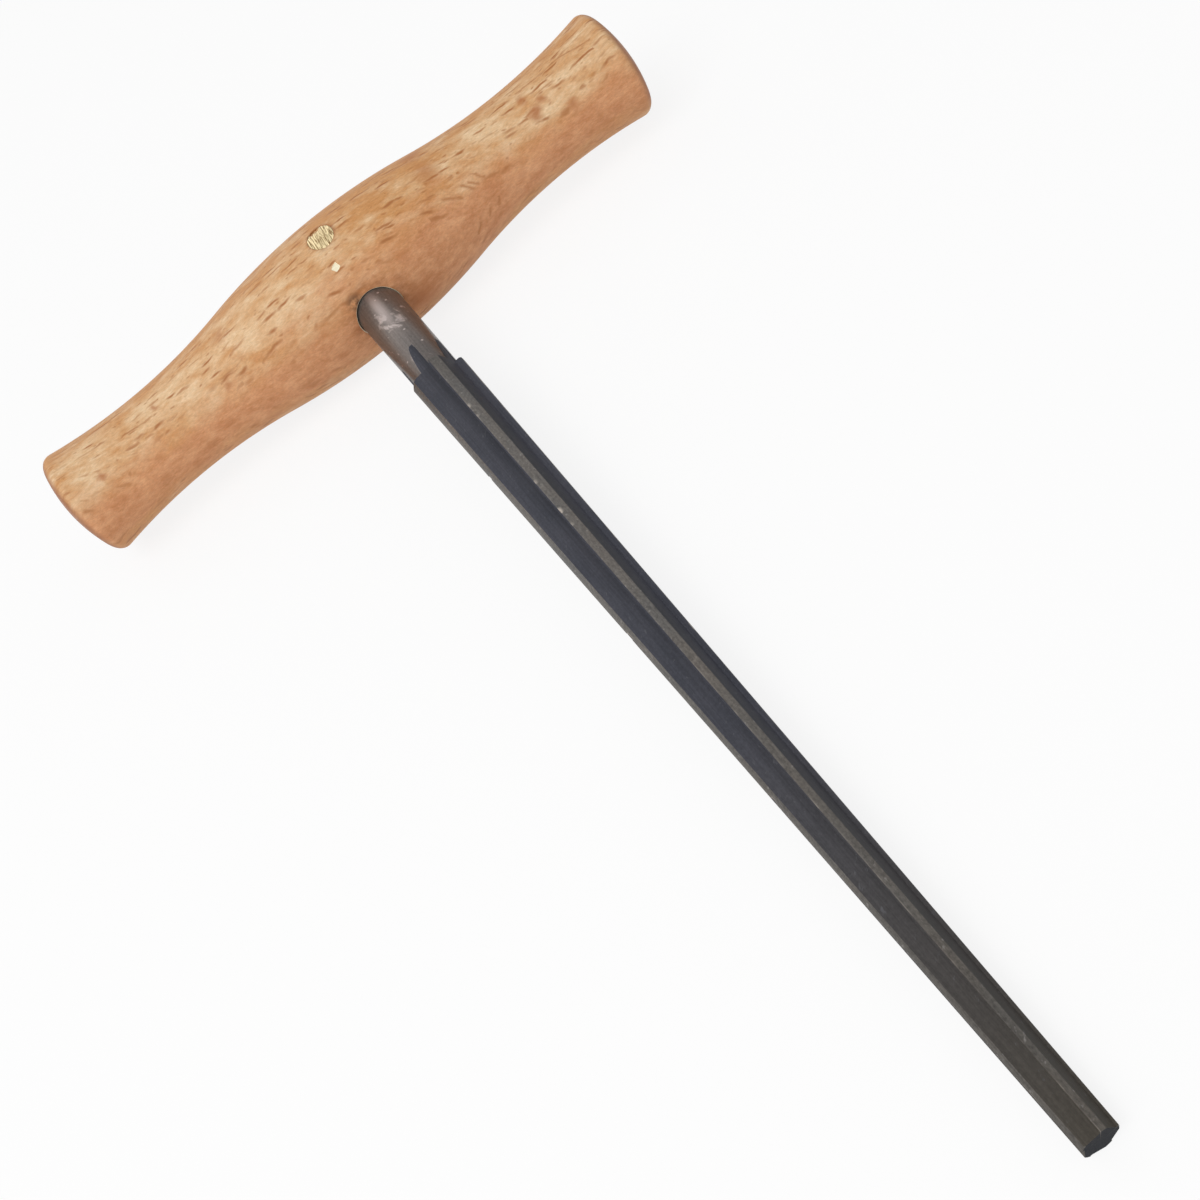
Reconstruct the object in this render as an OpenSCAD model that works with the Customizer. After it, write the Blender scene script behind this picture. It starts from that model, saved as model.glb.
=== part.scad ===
// Peg reamer: a hand tool that shapes the tapered peg holes of a string instrument.
// A turned wooden cross handle carries a fluted, tapered steel reamer, held by one brass cross pin.
// The origin is where the handle's axis and the reamer's axis cross.
// The reamer points along +X, the handle lies along Y and the pin stands along Z.

/* [Handle] */
// Length of the handle, over both domed ends
handle_len = 120; // [110:1:140]
// Diameter of the handle at its middle, where the reamer enters
bulge_d = 24; // [22:0.5:28]
// Smallest diameter of the handle, at its two waists
waist_d = 16.8; // [15:0.2:19]
// Distance of each waist from the handle's middle
waist_at = 39.5; // [36:0.5:42]
// Radius of the convex curve along the handle's middle
bulge_curve = 113; // [90:1:130]
// Radius of the domed ends
dome_curve = 25; // [20:1:40]
// Radius of the rounded rim around each end
rim_round = 1.8; // [1:0.1:2.5]
// Distance of the shank's bore from the handle's middle, along the handle
bore_off = 1; // [0:0.1:3]

/* [Reamer] */
// Taper of the fluted length: its diameter falls by one part in this many
taper_ratio = 30; // [20:1:50]
// Diameter over the lands at the small end
tip_d = 4.5; // [4:0.1:6]
// Length of the fluted taper
flute_len = 145; // [100:1:160]
// Diameter of the plain shank, inside the handle and where it comes out
shank_d = 8.1; // [7.8:0.1:8.6]
// Diameter of the neck, to which the shank narrows at the shoulder
neck_d = 7.5; // [7.2:0.1:7.8]
// Distance from the handle's axis to the shoulder, where the lands begin
shoulder_at = 35; // [30:0.5:45]
// How far the shank reaches past the handle's axis, inside the handle
tang_reach = 6.5; // [5.5:0.5:7.5]
// Chamfer around the shank's hidden end
tang_chamfer = 0.5; // [0.2:0.1:1]
// Chamfer around the small end
tip_chamfer = 0.1; // [0.05:0.05:0.5]

/* [Flutes] */
// Number of flutes around the reamer
flute_count = 5; // [4:1:6]
// Depth of a flute below the land's circle, at the shoulder
depth_large = 1.1; // [0.9:0.05:1.5]
// Depth of a flute below the land's circle, at the small end
depth_small = 0.35; // [0.2:0.05:0.5]
// Sideways place of a flute's root at the shoulder, from the plane through the axis
root_side_large = -0.07; // [-0.3:0.01:0.3]
// Sideways place of a flute's root at the small end, from the same plane
root_side_small = -0.37; // [-0.5:0.01:0.3]
// Lean of the cutting wall from upright, in degrees
wall_lean = 15; // [0:1:25]
// Fall of the flute's floor, from its root to the heel of the next land, in degrees
floor_fall = 7; // [0:1:12]
// Length over which a flute runs out into the shank
runout_len = 5; // [3:0.5:8]
// How far a flute keeps its full depth past the shoulder, before it runs out
runout_lead = 0.5; // [0.2:0.1:1]

/* [Pin] */
// Diameter of the cross pin
pin_d = 4.7; // [3:0.1:5]
// Distance of the cross pin from the handle's axis, towards the reamer's tip
pin_at = 2.1; // [0:0.1:4]

/* [Fits] */
// Radial clearance of the shank in the handle's bore
bore_gap = 0.05; // [0.01:0.01:0.1]
// Radial clearance of the cross pin in its holes
pin_gap = 0.03; // [0.01:0.01:0.1]
// Clearance between the shank's hidden end and the floor of the bore
end_gap = 0.4; // [0.2:0.1:0.8]
// Full angle of the drill's point at the floor of the bore, in degrees
drill_angle = 118; // [90:1:140]

/* [Hidden] */
$fn = 96;
size_step = 0.001;

// Handle outline: a convex middle and two hollow flares that meet it smoothly
half_len = handle_len / 2;
bulge_r = bulge_d / 2;
waist_r = waist_d / 2;
waist_drop = bulge_r - waist_r;
flare_exact = (waist_at ^ 2 + waist_drop ^ 2) / (2 * waist_drop) - bulge_curve;
flare_curve = round(flare_exact / size_step) * size_step;
curve_sum = bulge_curve + flare_curve;
flare_start = waist_at * bulge_curve / curve_sum;
flare_centre = [bulge_r - bulge_curve + sqrt(curve_sum ^ 2 - waist_at ^ 2), waist_at];

// Rounded rim: the circle that touches both the flare and the dome
dome_centre = [0, half_len - dome_curve];
rim_from_dome = dome_curve - rim_round;
rim_from_flare = flare_curve + rim_round;
centre_gap = norm(flare_centre - dome_centre);
centre_dir = (flare_centre - dome_centre) / centre_gap;
rim_along = (rim_from_dome ^ 2 - rim_from_flare ^ 2 + centre_gap ^ 2) / (2 * centre_gap);
rim_across = sqrt(rim_from_dome ^ 2 - rim_along ^ 2);
rim_centre = dome_centre + rim_along * centre_dir + rim_across * [-centre_dir[1], centre_dir[0]];
flare_end = rim_centre[1] + rim_round * (flare_centre[1] - rim_centre[1]) / rim_from_flare;
rim_end = rim_centre[1] + rim_round * (rim_centre[1] - dome_centre[1]) / rim_from_dome;

// Reamer sizes that follow from the taper
tip_r = tip_d / 2;
land_r = tip_r + flute_len / taper_ratio / 2;
shank_r = shank_d / 2;
neck_r = neck_d / 2;
neck_start = bulge_r;
neck_fall = (shank_r - neck_r) / (shoulder_at - neck_start);
tip_at = shoulder_at + flute_len;
floor_large = land_r - depth_large;
floor_small = tip_r - depth_small;
floor_tilt = atan((floor_large - floor_small) / flute_len);
root_skew = atan((root_side_large - root_side_small) / flute_len);
runout_top = neck_r + (runout_lead + runout_len) * neck_fall;
runout_tilt = atan((runout_top - floor_large) / runout_len);
flute_step = 360 / flute_count;

// Cutters reach well past what they cut
pin_r = pin_d / 2;
bore_r = shank_r + bore_gap;
bore_floor = tang_reach + end_gap;
drill_point = bore_r / tan(drill_angle / 2);
cutter_reach = land_r;

// Only six digits of a number are handed on, so a fine place is reached in two steps
module place(at) {
    coarse = [for (v = at) round(v)];
    translate(coarse) translate(at - coarse) children();
}

// One slice of the handle between two stations, turned from a flat outline.
// Each cut is placed by its station alone, so that neighbours share one plane.
module turned_slice(from, to) {
    rotate_extrude()
        intersection() {
            place([0, from]) square([bulge_d, handle_len]);
            place([0, to]) mirror([0, 1]) square([bulge_d, handle_len]);
            children();
        }
}

// One end of the handle, from the middle curve to the dome, along +Z
module handle_end() {
    turned_slice(flare_start, flare_end)
        difference() {
            square([bulge_d, handle_len]);
            place(flare_centre) circle(r = flare_curve, $fn = 360);
        }
    turned_slice(flare_end, rim_end) {
        place([rim_centre[0], 0]) mirror([1, 0]) square([bulge_d, handle_len]);
        place(rim_centre) circle(r = rim_round);
    }
    turned_slice(rim_end, half_len)
        place(dome_centre) circle(r = dome_curve, $fn = 180);
}

// The whole turned form of the handle, before it is drilled
module handle_form() {
    translate([0, -bore_off, 0]) rotate([-90, 0, 0]) {
        turned_slice(-flare_start, flare_start)
            translate([bulge_r - bulge_curve, 0]) circle(r = bulge_curve, $fn = 360);
        handle_end();
        mirror([0, 0, 1]) handle_end();
    }
}

// A round hole or pin along Z at the cross pin's place
module pin_line(r) {
    translate([pin_at, 0, -bulge_d])
        cylinder(r = r, h = 2 * bulge_d);
}

// The blind hole for the shank, with the drill's pointed floor
module shank_bore() {
    rotate([0, 90, 0])
        rotate_extrude()
            polygon([
                [0, -bore_floor - drill_point],
                [bore_r, -bore_floor],
                [bore_r, bulge_d],
                [0, bulge_d],
            ]);
}

module handle() {
    color([0.80, 0.56, 0.36])
        difference() {
            handle_form();
            shank_bore();
            pin_line(pin_r + pin_gap);
        }
}

// Shank and solid taper in one turned piece, along +Z
module reamer_blank() {
    rotate_extrude()
        polygon([
            [0, -tang_reach],
            [shank_r - tang_chamfer, -tang_reach],
            [shank_r, -tang_reach + tang_chamfer],
            [shank_r, neck_start],
            [neck_r, shoulder_at],
            [land_r, shoulder_at],
            [tip_r + tip_chamfer / taper_ratio / 2, tip_at - tip_chamfer],
            [tip_r - tip_chamfer, tip_at],
            [0, tip_at],
        ]);
}

// Section of the cutter for one flute: its root at the origin, the wall to the left, the floor to the right
module flute_section() {
    wall_top = 2 * cutter_reach;
    floor_end = 2 * cutter_reach;
    polygon([
        [0, 0],
        [floor_end, -floor_end * tan(floor_fall)],
        [floor_end, wall_top],
        [-wall_top * tan(wall_lean), wall_top],
    ]);
}

// One flute above the reamer: the long straight cut and the ramp that runs out into the shank
module flute_cutter() {
    root_x = shoulder_at - runout_lead;
    lead_rise = runout_lead * tan(floor_tilt);
    lead_side = runout_lead * tan(root_skew);
    translate([tip_at, -root_side_small, floor_small])
        rotate([90, 0, -90])
            rotate([-floor_tilt, root_skew, 0])
                translate([0, 0, -cutter_reach])
                    linear_extrude((flute_len + runout_lead) / cos(floor_tilt) + cutter_reach)
                        flute_section();
    translate([root_x, -root_side_large - lead_side, floor_large + lead_rise])
        rotate([90, 0, -90])
            rotate([-runout_tilt, root_skew, 0])
                linear_extrude(2 * runout_len)
                    flute_section();
}

module reamer() {
    color([0.42, 0.40, 0.38])
        difference() {
            rotate([0, 90, 0]) reamer_blank();
            for (k = [0 : flute_count - 1])
                rotate([k * flute_step, 0, 0]) flute_cutter();
            pin_line(pin_r + pin_gap);
        }
}

// The pin's ends are filed flush with the handle
module cross_pin() {
    color([0.74, 0.58, 0.32])
        intersection() {
            pin_line(pin_r);
            handle_form();
        }
}

handle();
reamer();
cross_pin();
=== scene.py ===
"""Looks of a peg reamer: a turned beech handle, a fluted steel reamer and a brass pin.

Sizes are in millimetres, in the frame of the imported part. Meshes are scaled to metres as they are made.
"""

import math

import bmesh
import bpy
from mathutils import Matrix, Vector, noise


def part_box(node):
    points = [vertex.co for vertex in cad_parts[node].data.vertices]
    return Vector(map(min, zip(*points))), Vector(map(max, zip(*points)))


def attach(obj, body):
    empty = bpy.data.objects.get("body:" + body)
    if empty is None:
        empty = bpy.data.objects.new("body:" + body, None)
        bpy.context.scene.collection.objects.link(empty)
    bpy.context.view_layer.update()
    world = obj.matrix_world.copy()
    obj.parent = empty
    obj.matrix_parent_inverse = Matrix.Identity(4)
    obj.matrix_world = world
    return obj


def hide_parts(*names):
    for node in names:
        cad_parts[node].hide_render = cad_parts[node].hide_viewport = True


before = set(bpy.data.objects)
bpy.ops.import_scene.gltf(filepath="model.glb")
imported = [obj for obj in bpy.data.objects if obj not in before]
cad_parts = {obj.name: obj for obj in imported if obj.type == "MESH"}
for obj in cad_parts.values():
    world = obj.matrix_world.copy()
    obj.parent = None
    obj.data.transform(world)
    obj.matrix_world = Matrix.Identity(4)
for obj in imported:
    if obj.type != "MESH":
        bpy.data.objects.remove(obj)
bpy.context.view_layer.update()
MM = 0.001

# Sizes read from the frame
handle_low, handle_high = (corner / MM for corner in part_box("handle"))
reamer_low, reamer_high = (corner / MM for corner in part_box("reamer"))
pin_low, pin_high = (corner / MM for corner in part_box("cross_pin"))
HALF_LEN = (handle_high.y - handle_low.y) / 2
HANDLE_Y = (handle_high.y + handle_low.y) / 2
BULGE_R = -handle_low.x
TIP_X = reamer_high.x
TANG_X = reamer_low.x
PIN_X = (pin_low.x + pin_high.x) / 2
PIN_R = (pin_high.x - pin_low.x) / 2

# Handle outline: a convex middle, hollow flares, rounded rims and domed ends
WAIST_R = 8.4
WAIST_AT = 39.5
BULGE_CURVE = 113.0
DOME_CURVE = 25.0
RIM_ROUND = 1.8
WAIST_DROP = BULGE_R - WAIST_R
FLARE_CURVE = (WAIST_AT**2 + WAIST_DROP**2) / (2 * WAIST_DROP) - BULGE_CURVE
FLARE_START = WAIST_AT * BULGE_CURVE / (BULGE_CURVE + FLARE_CURVE)
FLARE_CENTRE = Vector((WAIST_R + FLARE_CURVE, WAIST_AT))
DOME_CENTRE = Vector((0.0, HALF_LEN - DOME_CURVE))

# Holes in the handle: the bore is a little loose and off centre, and its edge is broken
BORE_R = 4.13
BORE_SHIFT = Vector((0.0, -0.08, 0.06))
BORE_FLOOR = -6.9
BORE_POINT = 2.5
PIN_GAP = 0.03
PIN_HOLE_R = PIN_R + PIN_GAP
EDGE_BREAK = 0.12

# Chip in the handle's skin, between the pin and the shank. Its corners lie around its place, a little
# further out above the skin and further in at the chip's floor.
CHIP_AT = Vector((7.68, -1.19))
CHIP_CORNERS = (
    (-0.55, 0.43),
    (0.22, 0.71),
    (0.44, 0.26),
    (0.56, -0.34),
    (-0.09, -0.86),
    (-0.36, -0.37),
)
CHIP_TOP = 1.1
CHIP_FLOOR = 0.85
CHIP_DEPTH = 0.15

# Marks on the handle's skin. A place is its Y and its turn about the handle's axis,
# in degrees from +Z towards +X.
TOOL_STROKES = (
    ((19.2, 52), (21.7, 62)),
    ((23.0, 53), (24.2, 62)),
    ((24.2, 54), (25.3, 61)),
    ((25.8, 54), (26.8, 60)),
    ((21.7, 93), (20.5, 101)),
    ((24.7, 87), (23.8, 95)),
    ((26.8, 86), (26.2, 93)),
)
STROKE_WIDTH = 0.8
VEIN = (((39.5, 8), (48.5, 11)), ((48.5, 11), (54.0, 22)))
VEIN_WIDTH = 0.5

# Reddish stains in the wood, and a painted shade beside the shank: Y, turn, radius, strength
RED_STAINS_AND_SHADE = (
    (-52.0, 45, 1.0, 0.8),
    (-38.5, 22, 1.0, 0.7),
    (-26.8, 57, 0.9, 0.6),
    (-22.8, 13, 2.0, 0.5),
    # painted shade beside the shank
    (6.5, 104, 5.0, 0.65),
    (19.7, -12, 3.0, 0.6),
    (20.0, 20, 3.0, 0.5),
    (39.3, 20, 1.2, 0.8),
    (39.8, 43, 1.8, 0.85),
    (42.2, 36, 1.3, 0.75),
    (45.6, 60, 1.2, 0.7),
)

# Reamer: the shank narrows to a neck, and the fluted taper starts at a shoulder. The shoulder leans a
# little, so that none of its faces is without area, and a flute's root is slightly filled.
SHANK_R = 4.05
NECK_R = 3.75
SHOULDER_X = 35.0
TAPER = 1 / 30
TIP_R = 2.25
TANG_CHAMFER = 0.5
TIP_CHAMFER = 0.1
LAND_CHAMFER = 0.3
SHOULDER_SLOPE = 0.03
FLUTES = 5
FLUTE_STEP = 2 * math.pi / FLUTES
DEPTH_LARGE = 1.1
DEPTH_SMALL = 0.35
ROOT_SIDE_LARGE = -0.07
ROOT_SIDE_SMALL = -0.37
ROOT_FILL = 0.03
WALL_LEAN = math.radians(15)
FLOOR_FALL = math.radians(7)
RUNOUT_LEN = 5.0
RUNOUT_LEAD = 0.5
RUNOUT_X = SHOULDER_X - RUNOUT_LEAD
FLUTE_LEN = TIP_X - SHOULDER_X
LAND_R = TIP_R + FLUTE_LEN * TAPER / 2
FLOOR_LARGE = LAND_R - DEPTH_LARGE
FLOOR_SMALL = TIP_R - DEPTH_SMALL
NECK_FALL = (SHANK_R - NECK_R) / (SHOULDER_X - BULGE_R)
RUNOUT_TOP = NECK_R + (SHOULDER_X - RUNOUT_X + RUNOUT_LEN) * NECK_FALL
RUNOUT_SLOPE = (RUNOUT_TOP - FLOOR_LARGE) / RUNOUT_LEN

# Painted shade and painted light on each flute's floor, at its root and at the next land's heel. It fades
# towards the small end.
# A value below 0 is painted light, as on the walls. Lands and neck are darker near the shoulder.
FLUTE_PAINTED_SHADE = ((1.0, -0.4), (0.8, 0.1), (0.9, 0.2), (0.7, 0.3), (-1.5, 1.6))
WALL_PAINTED_LIGHT = -1.0
PAINTED_SHADE_CURVE = 1.5
PAINTED_SHADE_FADE_FROM = 70
PAINTED_SHADE_FADE = 0.008
SHOULDER_DARKENING = 0.9
SHOULDER_DARKENING_REACH = 12

# Nicks in the cutting edges: flute, place along the reamer, half length, depth, shine.
# NICK_REACH is how far they spread from the edge.
NICK_REACH = 0.45
NICK_SHINE = 1.5
NICKS = (
    (0, 49.2, 0.5, 0.14, 0.5),
    (0, 52.0, 0.4, 0.1, 0.3),
    (0, 70.0, 0.5, 0.12, 0.4),
    (0, 77.1, 0.7, 0.22, 0.9),
    (0, 80.4, 0.4, 0.1, 0.3),
    (1, 61.0, 0.5, 0.14, 0.2),
    (1, 99.6, 0.8, 0.25, 0.8),
    (1, 131.0, 0.6, 0.14, 0.4),
    (2, 84.0, 0.8, 0.2, 0.8),
    (3, 58.0, 0.6, 0.18, 0.5),
    (3, 118.0, 0.7, 0.16, 0.6),
    (4, 104.0, 0.8, 0.2, 0.6),
)

# Between the nicks, the edges are rubbed bright in patches: strength, width, patches per millimetre,
# and how far apart two edges lie in the noise
EDGE_RUB = 0.4
EDGE_RUB_WIDTH = 0.1
EDGE_RUB_PATCHES = 0.6
EDGE_APART = 9

# Filed ends of the pin: marks along X, and finer ones among them, that fall off at the edge.
# They change FILE_MARKS times a millimetre across, and FILE_RUN or FINE_RUN times along.
FILE_DEPTH = 0.07
FILE_MARKS = 3.2
FILE_RUN = 0.25
FINER = 3
FINE_RUN = 0.4
FINE_SHARE = 0.4
FINE_SEED = 7
EDGE_FALL = 8

# Dent in the edge of the pin's upper end, with dirt in it
DENT_AT = Vector((-2.2, -0.35))
DENT_SIZE = Vector((0.8, 1.2))
DENT_DEPTH = 0.15
DENT_RAGGED = 0.3
DENT_GRAIN = Vector((2, 3))
DENT_SEED = 1.5
DENT_STEEP = 2.5
DENT_DIRT = 3

# Photograph: where the camera stood, how it was turned, and its lens
CAMERA_AT = Vector((224.35, -4.05, 150.58))
CAMERA_ELEVATION = math.radians(48.34)
CAMERA_AZIMUTH = math.radians(-0.405)
CAMERA_ROLL = math.radians(39.57)
CAMERA_LENS = 46.86
CAMERA_NEAR = 10

# Studio, with its sizes in metres: a large soft lamp at the left, weak ones at the right and behind,
# and an even pale room
KEY_TOWARDS = Vector((0.36, -0.42, 0.83))
KEY_POWER = 5.0
FILL_TOWARDS = Vector((0.3, 0.8, 0.5))
FILL_POWER = 0.2
BACK_TOWARDS = Vector((-0.78, -0.3, 0.55))
BACK_POWER = 0.8
LAMP_FAR = 0.9
LAMP_SIZE = 0.7
LAMPS_FACE = Vector((TIP_X / 3, 0, 0)) * MM
ROOM_LIGHT = 0.45
WHITE = (1, 1, 1, 1)
FLOOR_SIZE = 12.0
FLOOR_GLOW = 0.85
FLOOR_COLOUR = (0.9, 0.9, 0.9, 1)
FLOOR_ROUGHNESS = 0.9

# Fineness of the meshes: points around, and rings along each stretch. The neck's last ring lies
# RUNOUT_SPACE before the flutes run out.
HANDLE_TURNS = 200
MIDDLE_RINGS = 24
FLARE_RINGS = 40
RIM_RINGS = 10
DOME_RINGS = 10
BORE_TURNS = 96
PIN_HOLE_TURNS = 64
SHANK_RINGS = 4
NECK_RINGS = 6
RUNOUT_RINGS = 20
RUNOUT_SPACE = 0.5
TAPER_RINGS = 145
NICK_RINGS = 6
PIN_ROWS = 96
PIN_COLUMNS = 24

# The least angle between a flute's corners, the distance under which a cut's points are joined, and
# how often the search for the start of the flutes halves its span
SLIVER = 0.02
WELD = 0.004
HALVINGS = 40


def spread(start, end, count):
    """Evenly spaced values from start to end, both included."""
    return [start + (end - start) * i / count for i in range(count + 1)]


class Shell:
    """Points in millimetres and faces, gathered ring by ring, that become one mesh."""

    def __init__(self):
        self.points = []
        self.faces = []
        self.kinds = []
        self.wear = []
        self.dirt_and_shading = []

    def ring(self, points, wear=None, dirt_and_shading=None):
        """Adds points, and returns their numbers."""
        first = len(self.points)
        self.points.extend(points)
        self.wear.extend(wear or [0.0] * len(points))
        self.dirt_and_shading.extend(dirt_and_shading or [0.0] * len(points))
        return list(range(first, len(self.points)))

    def bridge(self, first, second, kinds=None):
        """Joins two rings by faces all around."""
        for i in range(len(first)):
            self.faces.append((first[i - 1], first[i], second[i], second[i - 1]))
            self.kinds.append(kinds[i] if kinds else 0)

    def cap(self, ring, centre, kind=0):
        """Closes a ring by faces that meet in its centre."""
        middle = self.ring([centre])[0]
        for i in range(len(ring)):
            self.faces.append((ring[i - 1], ring[i], middle))
            self.kinds.append(kind)

    def mesh(self, name, materials=()):
        """The mesh, in metres, with wear, and dirt and painted shading, as attributes of its points."""
        mesh = bpy.data.meshes.new(name)
        mesh.from_pydata([Vector(point) * MM for point in self.points], [], self.faces)
        for material in materials:
            mesh.materials.append(material)
        mesh.polygons.foreach_set("material_index", self.kinds)
        mesh.attributes.new("wear", "FLOAT", "POINT").data.foreach_set("value", self.wear)
        mesh.attributes.new("dirt_and_shading", "FLOAT", "POINT").data.foreach_set("value", self.dirt_and_shading)
        shell = bmesh.new()
        shell.from_mesh(mesh)
        bmesh.ops.recalc_face_normals(shell, faces=shell.faces)
        shell.to_mesh(mesh)
        shell.free()
        return mesh


def add_piece(name, mesh, node, crease):
    """Shows a mesh in place of a CAD node, smooth but for edges sharper than the crease, in degrees."""
    piece = bpy.data.objects.new(name, mesh)
    bpy.context.scene.collection.objects.link(piece)
    mesh.shade_smooth()
    mesh.set_sharp_from_angle(angle=math.radians(crease))
    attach(piece, "root")
    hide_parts(node)


def carve(mesh, cutters):
    """The mesh with each cutter's volume taken away. A cut face keeps its cutter's material number."""
    objects = [bpy.data.objects.new("carved", part) for part in (mesh, *cutters)]
    for part in objects:
        bpy.context.scene.collection.objects.link(part)
    for tool in objects[1:]:
        cut = objects[0].modifiers.new("cut", "BOOLEAN")
        cut.operation = "DIFFERENCE"
        cut.solver = "EXACT"
        cut.object = tool
    shown = bpy.context.evaluated_depsgraph_get()
    carved = bpy.data.meshes.new_from_object(objects[0].evaluated_get(shown))
    for part in objects:
        bpy.data.objects.remove(part)
    shell = bmesh.new()
    shell.from_mesh(carved)
    bmesh.ops.remove_doubles(shell, verts=shell.verts, dist=WELD * MM)
    shell.to_mesh(carved)
    shell.free()
    return carved


def rim_centre():
    """Centre of the rounded rim, as radius and distance along: its circle touches flare and dome."""
    gap = FLARE_CENTRE - DOME_CENTRE
    to_dome = DOME_CURVE - RIM_ROUND
    to_flare = FLARE_CURVE + RIM_ROUND
    along = (to_dome**2 - to_flare**2 + gap.length_squared) / (2 * gap.length)
    across = math.sqrt(to_dome**2 - along**2)
    side = Vector((-gap.y, gap.x)).normalized()
    return DOME_CENTRE + along * gap.normalized() + across * side


RIM_CENTRE = rim_centre()
FLARE_END = RIM_CENTRE.y + RIM_ROUND * (FLARE_CENTRE.y - RIM_CENTRE.y) / (FLARE_CURVE + RIM_ROUND)
RIM_END = RIM_CENTRE.y + RIM_ROUND * (RIM_CENTRE.y - DOME_CENTRE.y) / (DOME_CURVE - RIM_ROUND)


def handle_radius(along):
    """Radius of the handle at a distance from its middle."""
    along = abs(along)
    if along <= FLARE_START:
        return BULGE_R - BULGE_CURVE + math.sqrt(BULGE_CURVE**2 - along**2)
    if along <= FLARE_END:
        return FLARE_CENTRE.x - math.sqrt(FLARE_CURVE**2 - (along - WAIST_AT) ** 2)
    if along <= RIM_END:
        return RIM_CENTRE.x + math.sqrt(RIM_ROUND**2 - (along - RIM_CENTRE.y) ** 2)
    return math.sqrt(max(DOME_CURVE**2 - (along - DOME_CENTRE.y) ** 2, 0.0))


def handle_height(across, y):
    """Height of the handle's surface above the plane of its axis."""
    return math.sqrt(handle_radius(y - HANDLE_Y) ** 2 - across**2)


def on_handle(y, turn):
    """The point of the handle's skin at a Y and a turn, in degrees from +Z towards +X."""
    radius = handle_radius(y - HANDLE_Y)
    return Vector((radius * math.sin(math.radians(turn)), y, radius * math.cos(math.radians(turn))))


def handle_stations():
    """Distances from the handle's middle at which its outline is turned, without the two poles."""
    middle = spread(0, FLARE_START, MIDDLE_RINGS)
    flare = spread(FLARE_START, FLARE_END, FLARE_RINGS)
    rim_from = math.asin((FLARE_END - RIM_CENTRE.y) / RIM_ROUND)
    rim_to = math.asin((RIM_END - RIM_CENTRE.y) / RIM_ROUND)
    rim_turns = spread(rim_from, rim_to, RIM_RINGS)
    rim = [RIM_CENTRE.y + RIM_ROUND * math.sin(turn) for turn in rim_turns]
    dome_from = math.acos((RIM_END - DOME_CENTRE.y) / DOME_CURVE)
    dome_turns = spread(dome_from, 0, DOME_RINGS)
    dome = [DOME_CENTRE.y + DOME_CURVE * math.cos(turn) for turn in dome_turns]
    half = middle + flare[1:] + rim[1:] + dome[1:-1]
    return [-along for along in reversed(half[1:])] + half


def turned_handle(materials):
    """The handle as it leaves the lathe, closed at both ends."""
    turns = spread(0, 2 * math.pi, HANDLE_TURNS)[:-1]
    shell = Shell()
    before = None
    for along in handle_stations():
        radius = handle_radius(along)
        y = HANDLE_Y + along
        ring = shell.ring([(radius * math.sin(t), y, radius * math.cos(t)) for t in turns])
        if before:
            shell.bridge(before, ring)
        else:
            shell.cap(ring, (0, HANDLE_Y - HALF_LEN, 0))
        before = ring
    shell.cap(before, (0, HANDLE_Y + HALF_LEN, 0))
    return shell.mesh("handle_beech", materials)


def bore_cutter():
    """The blind hole for the shank, with a broken edge that follows the handle's curve."""
    turns = spread(0, 2 * math.pi, BORE_TURNS)[:-1]

    def mouth(radius, lift):
        points = []
        for t in turns:
            y = BORE_SHIFT.y + radius * math.cos(t)
            z = BORE_SHIFT.z + radius * math.sin(t)
            points.append((handle_height(z, y) + lift, y, z))
        return points

    shell = Shell()
    outer = shell.ring(mouth(BORE_R + 2 * EDGE_BREAK, EDGE_BREAK))
    edge = shell.ring(mouth(BORE_R, -EDGE_BREAK))
    deep = shell.ring([(BORE_FLOOR, point[1], point[2]) for point in mouth(BORE_R, 0)])
    shell.cap(outer, (BULGE_R + BORE_R, *BORE_SHIFT.yz))
    shell.bridge(outer, edge, kinds=[1] * len(turns))
    shell.bridge(edge, deep)
    shell.cap(deep, (BORE_FLOOR - BORE_POINT, *BORE_SHIFT.yz))
    return shell.mesh("bore")


def pin_hole_cutter():
    """The cross hole for the pin, with a broken edge at each end."""
    turns = spread(0, 2 * math.pi, PIN_HOLE_TURNS)[:-1]

    def mouth(side, radius, lift):
        points = []
        for t in turns:
            x = PIN_X + radius * math.cos(t)
            y = radius * math.sin(t)
            points.append((x, y, side * (handle_height(x, y) + lift)))
        return points

    shell = Shell()
    top = shell.ring(mouth(1, PIN_HOLE_R + EDGE_BREAK, EDGE_BREAK / 2))
    top_edge = shell.ring(mouth(1, PIN_HOLE_R, -EDGE_BREAK / 2))
    low_edge = shell.ring(mouth(-1, PIN_HOLE_R, -EDGE_BREAK / 2))
    low = shell.ring(mouth(-1, PIN_HOLE_R + EDGE_BREAK, EDGE_BREAK / 2))
    shell.cap(top, (PIN_X, 0, BULGE_R + PIN_R))
    shell.bridge(top, top_edge)
    shell.bridge(top_edge, low_edge)
    shell.bridge(low_edge, low)
    shell.cap(low, (PIN_X, 0, -BULGE_R - PIN_R))
    return shell.mesh("pin_hole")


def chip_cutter():
    """A shallow flake out of the handle's skin, which shows raw wood."""
    shell = Shell()
    rings = []
    for size, lift in ((CHIP_TOP, CHIP_DEPTH), (CHIP_FLOOR, -CHIP_DEPTH)):
        points = []
        for across, along in CHIP_CORNERS:
            x = CHIP_AT.x + size * across
            y = CHIP_AT.y + size * along
            points.append((x, y, handle_height(x, y) + lift))
        rings.append(shell.ring(points))
    shell.bridge(*rings, kinds=[1] * len(CHIP_CORNERS))
    middle = handle_height(*CHIP_AT)
    shell.cap(rings[0], (*CHIP_AT, middle + CHIP_DEPTH), kind=1)
    shell.cap(rings[1], (*CHIP_AT, middle - CHIP_DEPTH), kind=1)
    return shell.mesh("chip")


def make_handle():
    """The drilled beech handle, with its chip."""
    mesh = turned_handle([beech(), raw_wood()])
    mesh = carve(mesh, [bore_cutter(), pin_hole_cutter(), chip_cutter()])
    add_piece("handle_beech", mesh, "handle", crease=35)


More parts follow.
